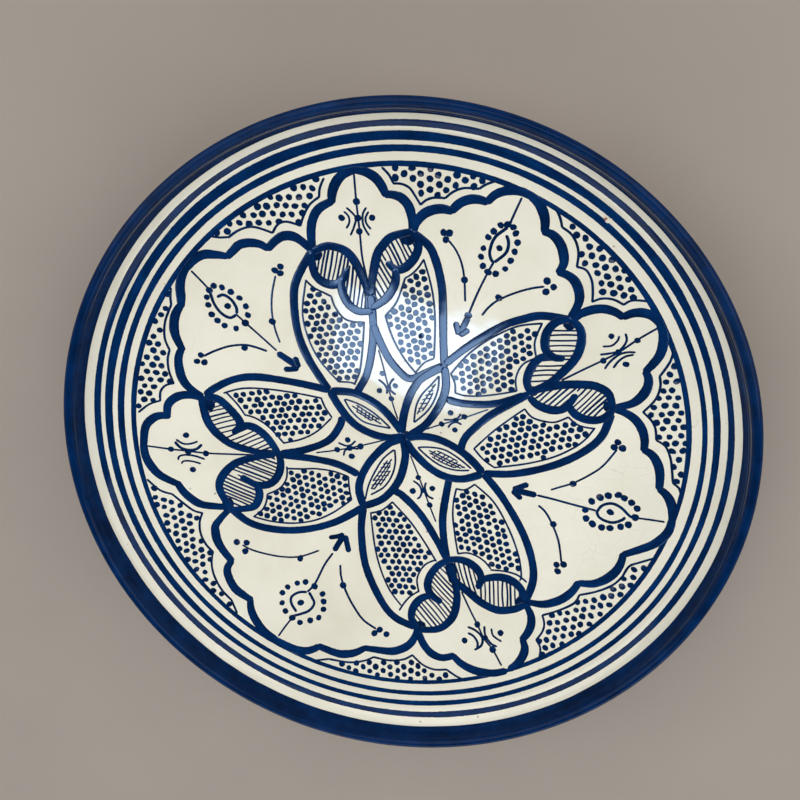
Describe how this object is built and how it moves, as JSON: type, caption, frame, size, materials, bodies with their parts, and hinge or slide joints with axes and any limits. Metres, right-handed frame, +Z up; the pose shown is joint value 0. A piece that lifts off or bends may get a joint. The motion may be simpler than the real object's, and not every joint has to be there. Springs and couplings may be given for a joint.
{
  "type": "hand painted ceramic plate",
  "caption": "Shallow round serving plate in thrown clay with white glaze, a cobalt rim band, line borders and brushed leaf, petal and scalloped cartouche ornament",
  "frame": {"origin": "centre of the foot ring's resting circle, on the table", "axes": "+Z up out of the dish along its turning axis; +Y towards the narrow cartouche next to the top of the pattern; +X to the right of it"},
  "size_m": [0.35, 0.35, 0.0565],
  "materials": {
    "clay": "bare low fired clay with turning marks",
    "foot_clay": "bare turned clay, rubbed darker where it meets the table",
    "white_glaze": "glossy warm white glaze with fine crazing",
    "rim_cobalt": "glossy cobalt band with streaks",
    "line_cobalt": "glossy cobalt lines turned on a wheel",
    "brush_cobalt": "glossy hand brushed cobalt under the glaze"
  },
  "bodies": {
    "root": {"clay_body": "clay", "foot_ring": "foot_clay", "glaze_coat": "white_glaze", "rim_band": "rim_cobalt", "outer_line": "line_cobalt", "middle_line": "line_cobalt", "inner_line": "line_cobalt", "field_ring": "line_cobalt", "center_leaves": "brush_cobalt", "petals": "brush_cobalt", "lobed_leaves": "brush_cobalt", "small_cartouches": "brush_cobalt", "large_cartouches": "brush_cobalt"}
  },
  "joints": []
}
